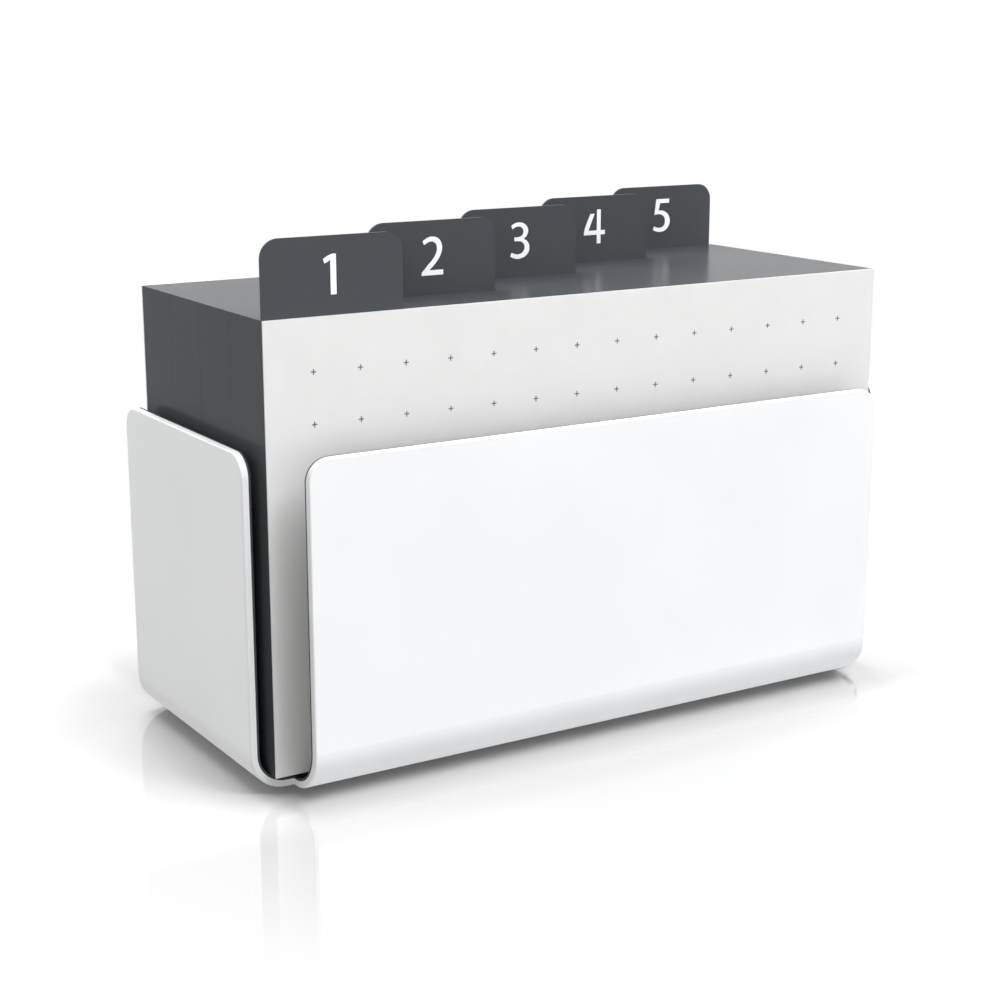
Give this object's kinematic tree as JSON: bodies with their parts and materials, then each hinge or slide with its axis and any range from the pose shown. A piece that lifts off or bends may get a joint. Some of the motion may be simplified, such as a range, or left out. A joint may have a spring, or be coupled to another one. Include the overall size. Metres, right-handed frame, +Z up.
{
  "type": "index card holder",
  "caption": "Low white desk tray bent up from one cross-shaped sheet, with open corner clefts, holding an upright deck of index cards parted by staggered numbered tab dividers",
  "frame": {"origin": "on the surface that the holder stands on, under the middle of the tray", "axes": "+Z up; +X to the right along the cards' long edges, from tab 1 to tab 5; +Y to the back, away from the user"},
  "size_m": [0.1342, 0.0672, 0.0923],
  "materials": {
    "white_plastic": "white, semi-gloss",
    "dark_liner": "near-black, matte",
    "rubber_foot": "dark grey, matte",
    "white_card": "smooth uncoated, faint grid of grey plus marks",
    "grey_card": "charcoal card, satin cut edges",
    "divider_sheet": "charcoal plastic sheet, satin, white printed numerals"
  },
  "bodies": {
    "tray": {"tray_shell": "white_plastic", "tray_liner": "dark_liner", "foot_pad_front_left": "rubber_foot", "foot_pad_front_right": "rubber_foot", "foot_pad_rear_left": "rubber_foot", "foot_pad_rear_right": "rubber_foot"},
    "front_card": {"front_card": "white_card"},
    "divider_1": {"divider_1": "divider_sheet"},
    "card_pack_1": {"card_pack_1": "grey_card"},
    "divider_2": {"divider_2": "divider_sheet"},
    "card_pack_2": {"card_pack_2": "grey_card"},
    "divider_3": {"divider_3": "divider_sheet"},
    "card_pack_3": {"card_pack_3": "grey_card"},
    "divider_4": {"divider_4": "divider_sheet"},
    "card_pack_4": {"card_pack_4": "grey_card"},
    "divider_5": {"divider_5": "divider_sheet"},
    "rear_card": {"rear_card": "white_card"}
  },
  "joints": [
    {"name": "front_card_lift", "type": "slide", "parent": "tray", "child": "front_card", "axis": [0, 0, 1], "range_m": [0, 0.095]},
    {"name": "divider_1_lift", "type": "slide", "parent": "tray", "child": "divider_1", "axis": [0, 0, 1], "range_m": [0, 0.095]},
    {"name": "card_pack_1_lift", "type": "slide", "parent": "tray", "child": "card_pack_1", "axis": [0, 0, 1], "range_m": [0, 0.095]},
    {"name": "divider_2_lift", "type": "slide", "parent": "tray", "child": "divider_2", "axis": [0, 0, 1], "range_m": [0, 0.095]},
    {"name": "card_pack_2_lift", "type": "slide", "parent": "tray", "child": "card_pack_2", "axis": [0, 0, 1], "range_m": [0, 0.095]},
    {"name": "divider_3_lift", "type": "slide", "parent": "tray", "child": "divider_3", "axis": [0, 0, 1], "range_m": [0, 0.095]},
    {"name": "card_pack_3_lift", "type": "slide", "parent": "tray", "child": "card_pack_3", "axis": [0, 0, 1], "range_m": [0, 0.095]},
    {"name": "divider_4_lift", "type": "slide", "parent": "tray", "child": "divider_4", "axis": [0, 0, 1], "range_m": [0, 0.095]},
    {"name": "card_pack_4_lift", "type": "slide", "parent": "tray", "child": "card_pack_4", "axis": [0, 0, 1], "range_m": [0, 0.095]},
    {"name": "divider_5_lift", "type": "slide", "parent": "tray", "child": "divider_5", "axis": [0, 0, 1], "range_m": [0, 0.095]},
    {"name": "rear_card_lift", "type": "slide", "parent": "tray", "child": "rear_card", "axis": [0, 0, 1], "range_m": [0, 0.095]}
  ]
}
